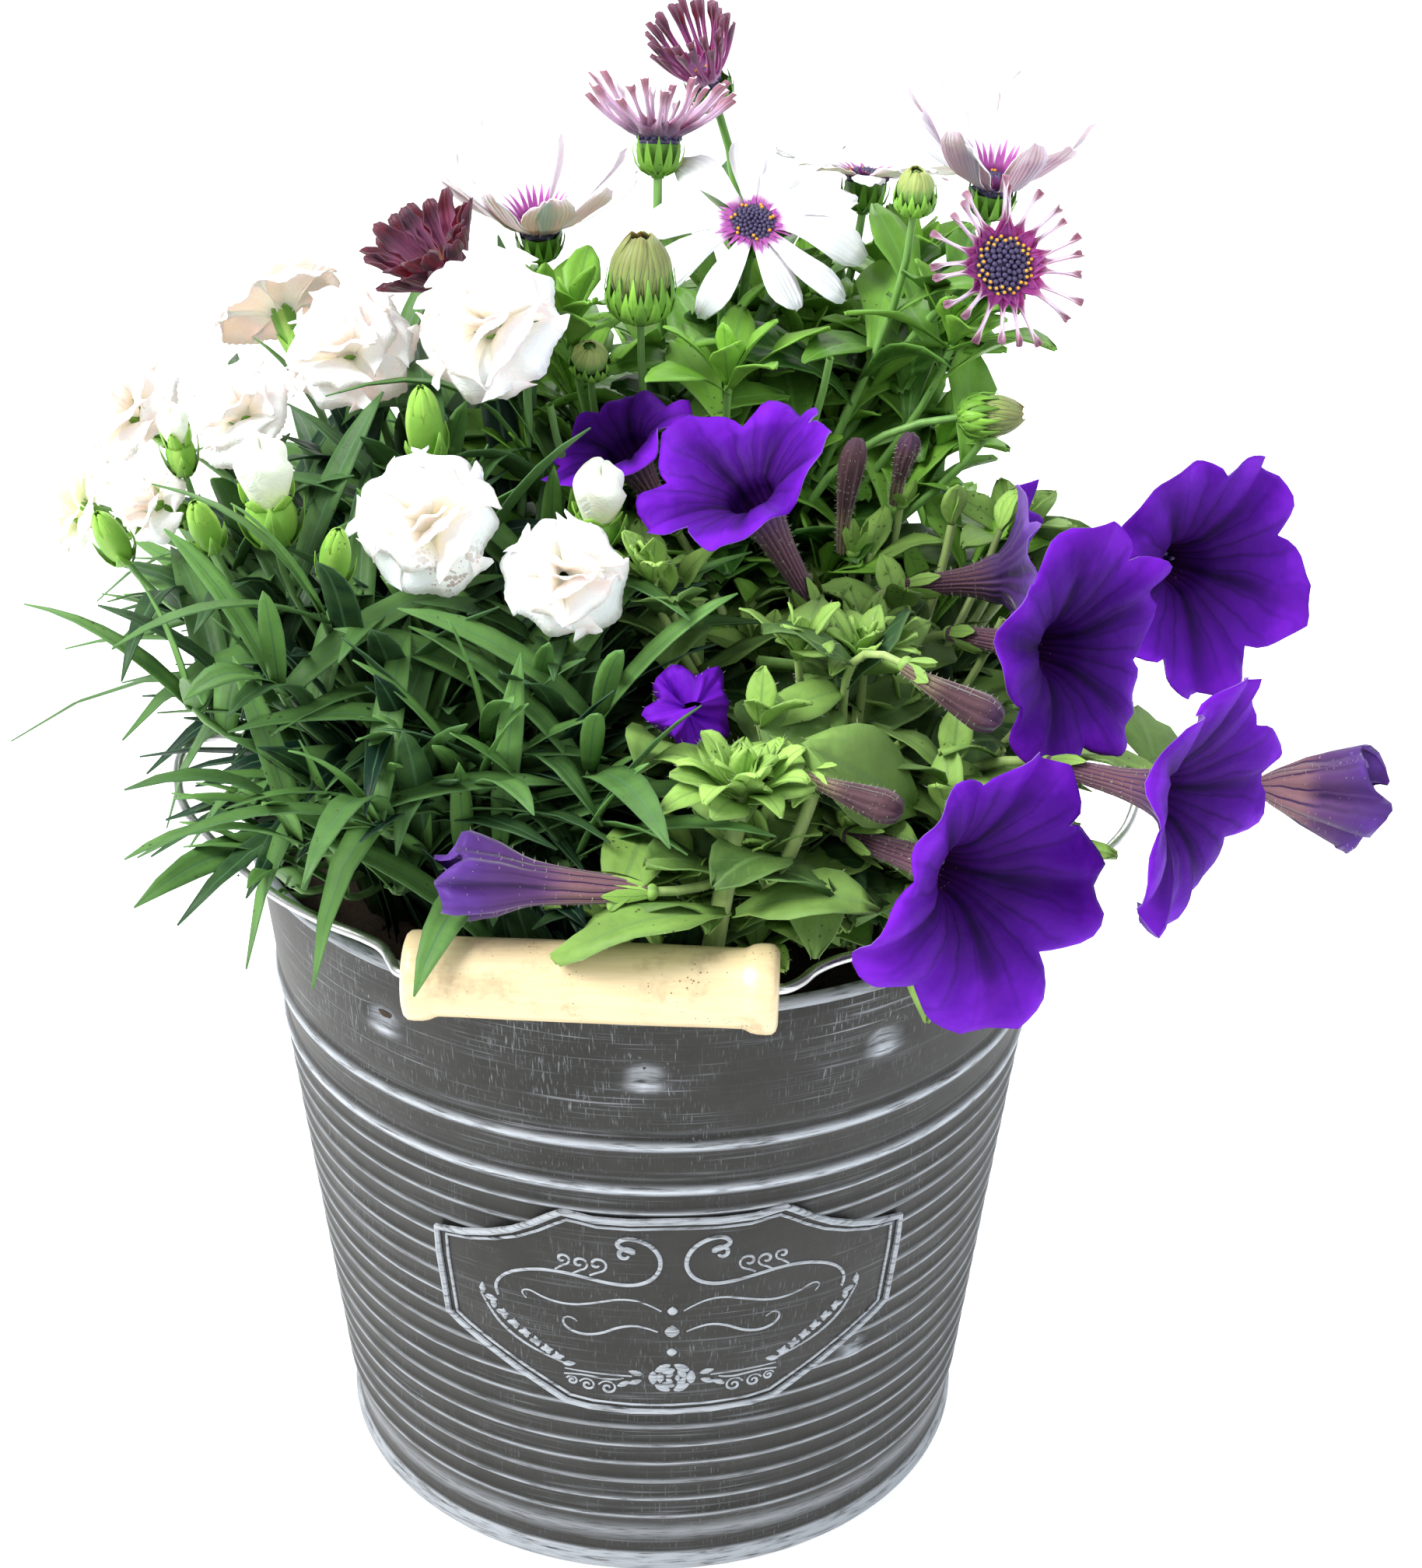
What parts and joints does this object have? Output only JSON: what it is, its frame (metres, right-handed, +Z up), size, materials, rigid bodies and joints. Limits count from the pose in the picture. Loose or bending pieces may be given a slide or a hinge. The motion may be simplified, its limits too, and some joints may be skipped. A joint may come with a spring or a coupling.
{
  "type": "planted bucket with dianthus, osteospermum and petunia",
  "caption": "Tapered metal bucket with a wooden-grip bail, planted with pale dianthus, osteospermum daisies and violet petunias.",
  "frame": {"origin": "on the bucket's axis, in the plane the bucket stands on", "axes": "+Z up, -Y towards the front, where the bail's grip rests on the rim, +X to the right of the front"},
  "size_m": [0.3312, 0.2633, 0.3527],
  "materials": {
    "weathered_zinc": "matte, dark grey over zinc, brushed with pale grey on the ridges",
    "galvanised_wire": "satin",
    "lacquered_wood": "satin, clear lacquer on pale wood",
    "peat": "matte, loose potting compost",
    "dianthus_leaf": "matte, bluish green",
    "osteospermum_leaf": "satin, mid green",
    "petunia_leaf": "matte, hairy light green",
    "dianthus_petal": "matte, white with a pale pink flush",
    "osteospermum_petal": "satin, white to purple",
    "petunia_petal": "matte, deep blue violet"
  },
  "bodies": {
    "bucket": {"bucket_base": "weathered_zinc", "bucket_wall": "weathered_zinc", "dianthus_bloom_back": "dianthus_petal", "dianthus_bloom_crest_left": "dianthus_petal", "dianthus_bloom_crest_right": "dianthus_petal", "dianthus_bloom_far_left": "dianthus_petal", "dianthus_bloom_front_left": "dianthus_petal", "dianthus_bloom_front_right": "dianthus_petal", "dianthus_bloom_left": "dianthus_petal", "dianthus_bloom_pale": "dianthus_petal", "dianthus_bloom_rear": "dianthus_petal", "dianthus_bloom_side": "dianthus_petal", "dianthus_bud_crest": "dianthus_leaf", "dianthus_bud_far_left": "dianthus_leaf", "dianthus_bud_front": "dianthus_leaf", "dianthus_bud_left": "dianthus_leaf", "dianthus_bud_opening": "dianthus_leaf", "dianthus_bud_white": "dianthus_leaf", "dianthus_bud_yellow": "dianthus_leaf", "dianthus_plant": "dianthus_leaf", "ear_left": "weathered_zinc", "ear_right": "weathered_zinc", "osteospermum_bud_green": "osteospermum_leaf", "osteospermum_bud_round": "osteospermum_leaf", "osteospermum_bud_side": "osteospermum_leaf", "osteospermum_bud_striped": "osteospermum_leaf", "osteospermum_pale_left": "osteospermum_petal", "osteospermum_plant": "osteospermum_leaf", "osteospermum_purple_backed": "osteospermum_petal", "osteospermum_quilled": "osteospermum_petal", "osteospermum_top_dark": "osteospermum_petal", "osteospermum_top_pink": "osteospermum_petal", "osteospermum_white_open": "osteospermum_petal", "osteospermum_white_rear": "osteospermum_petal", "osteospermum_withered": "osteospermum_petal", "petunia_bud_drooping": "petunia_petal", "petunia_bud_low": "petunia_petal", "petunia_bud_short": "petunia_petal", "petunia_bud_tall": "petunia_petal", "petunia_closed_left": "petunia_petal", "petunia_closed_right": "petunia_petal", "petunia_curled": "petunia_petal", "petunia_edge_on": "petunia_petal", "petunia_front": "petunia_petal", "petunia_middle": "petunia_petal", "petunia_middle_back": "petunia_petal", "petunia_plant": "petunia_leaf", "petunia_rear": "petunia_petal", "petunia_right_mid": "petunia_petal", "petunia_right_side": "petunia_petal", "petunia_right_top": "petunia_petal", "potting_soil": "peat", "rivet_left_a": "galvanised_wire", "rivet_left_b": "galvanised_wire", "rivet_right_a": "galvanised_wire", "rivet_right_b": "galvanised_wire"},
    "bail": {"bail_wire": "galvanised_wire"},
    "grip": {"wooden_grip": "lacquered_wood"}
  },
  "joints": [
    {"name": "bail_swing", "type": "hinge", "parent": "bucket", "child": "bail", "pos_m": [0, 0, 0.19], "axis": [-0.9979, 0.0654, 0], "range_deg": [0, 183.5], "deforming": ["dianthus_bloom_crest_right", "dianthus_bloom_front_left", "dianthus_bud_crest", "dianthus_bud_front", "dianthus_bud_white", "dianthus_plant", "osteospermum_bud_round", "osteospermum_bud_striped", "osteospermum_plant", "osteospermum_white_open", "osteospermum_withered", "petunia_bud_low", "petunia_closed_left", "petunia_edge_on", "petunia_front", "petunia_middle", "petunia_middle_back", "petunia_plant", "petunia_rear", "petunia_right_mid"]},
    {"name": "grip_spin", "type": "hinge", "parent": "bail", "child": "grip", "pos_m": [-0.01395, -0.10426, 0.18667], "axis": [0.9979, -0.0654, 0], "continuous": true}
  ]
}
